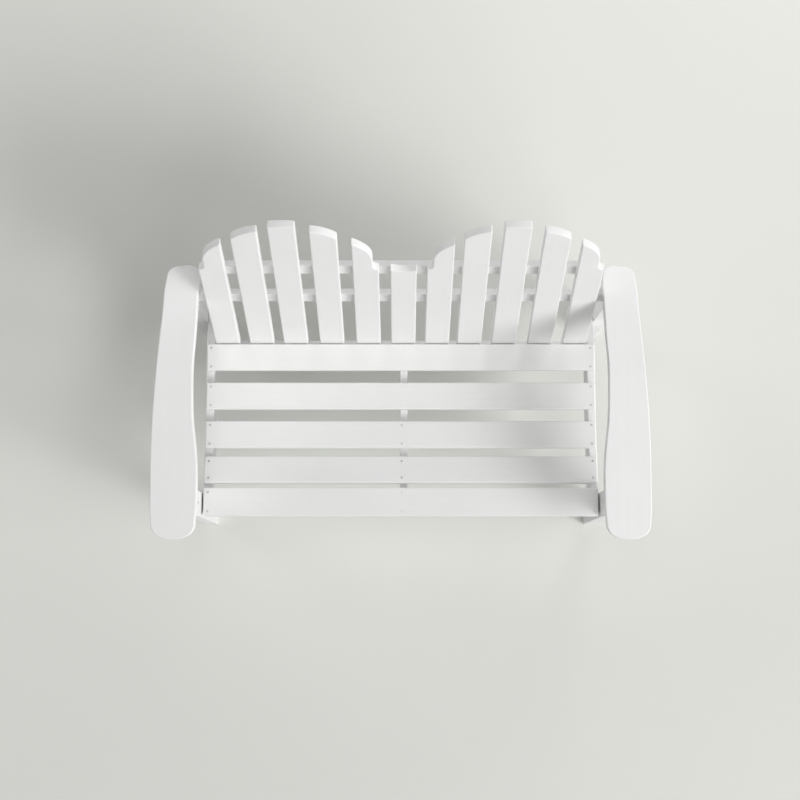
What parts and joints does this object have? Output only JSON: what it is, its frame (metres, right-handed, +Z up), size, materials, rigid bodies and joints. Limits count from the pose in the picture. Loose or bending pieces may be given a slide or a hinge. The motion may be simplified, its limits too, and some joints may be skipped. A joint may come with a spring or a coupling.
{
  "type": "adirondack loveseat",
  "caption": "Adirondack loveseat: slatted seat that rises to the front, leaning slatted back in paired arches, wide flat arms and raked legs, all in white painted boards.",
  "frame": {"origin": "on the floor, below the middle of the outline", "axes": "+Z up, +X to the right as seen from the front, -Y towards the front, where the sitter faces"},
  "size_m": [1.4954, 0.9129, 0.9235],
  "materials": {
    "white_paint": "satin white paint",
    "screw_steel": "dull"
  },
  "bodies": {
    "root": {"back_slat_01": "white_paint", "back_slat_02": "white_paint", "back_slat_03": "white_paint", "back_slat_04": "white_paint", "back_slat_05": "white_paint", "back_slat_06": "white_paint", "back_slat_07": "white_paint", "back_slat_08": "white_paint", "back_slat_09": "white_paint", "back_slat_10": "white_paint", "back_slat_11": "white_paint", "seat_slat_1": "white_paint", "seat_slat_2": "white_paint", "seat_slat_3": "white_paint", "seat_slat_4": "white_paint", "seat_slat_5": "white_paint", "stringer_left": "white_paint", "stringer_center": "white_paint", "stringer_right": "white_paint", "arm_left": "white_paint", "arm_right": "white_paint", "arm_bracket_left": "white_paint", "arm_bracket_right": "white_paint", "front_leg_left": "white_paint", "front_leg_right": "white_paint", "rear_leg_left": "white_paint", "rear_leg_right": "white_paint", "back_rail_upper": "white_paint", "back_rail_middle": "white_paint", "back_rail_lower": "white_paint", "seat_screw_01": "screw_steel", "seat_screw_02": "screw_steel", "seat_screw_03": "screw_steel", "seat_screw_04": "screw_steel", "seat_screw_05": "screw_steel", "seat_screw_06": "screw_steel", "seat_screw_07": "screw_steel", "seat_screw_08": "screw_steel", "seat_screw_09": "screw_steel", "seat_screw_10": "screw_steel", "seat_screw_11": "screw_steel", "seat_screw_12": "screw_steel", "seat_screw_13": "screw_steel", "seat_screw_14": "screw_steel", "seat_screw_15": "screw_steel", "seat_screw_16": "screw_steel", "seat_screw_17": "screw_steel", "seat_screw_18": "screw_steel", "seat_screw_19": "screw_steel", "seat_screw_20": "screw_steel", "seat_screw_21": "screw_steel", "seat_screw_22": "screw_steel", "seat_screw_23": "screw_steel", "seat_screw_24": "screw_steel", "seat_screw_25": "screw_steel", "seat_screw_26": "screw_steel", "seat_screw_27": "screw_steel", "seat_screw_28": "screw_steel", "seat_screw_29": "screw_steel", "seat_screw_30": "screw_steel"}
  },
  "joints": []
}
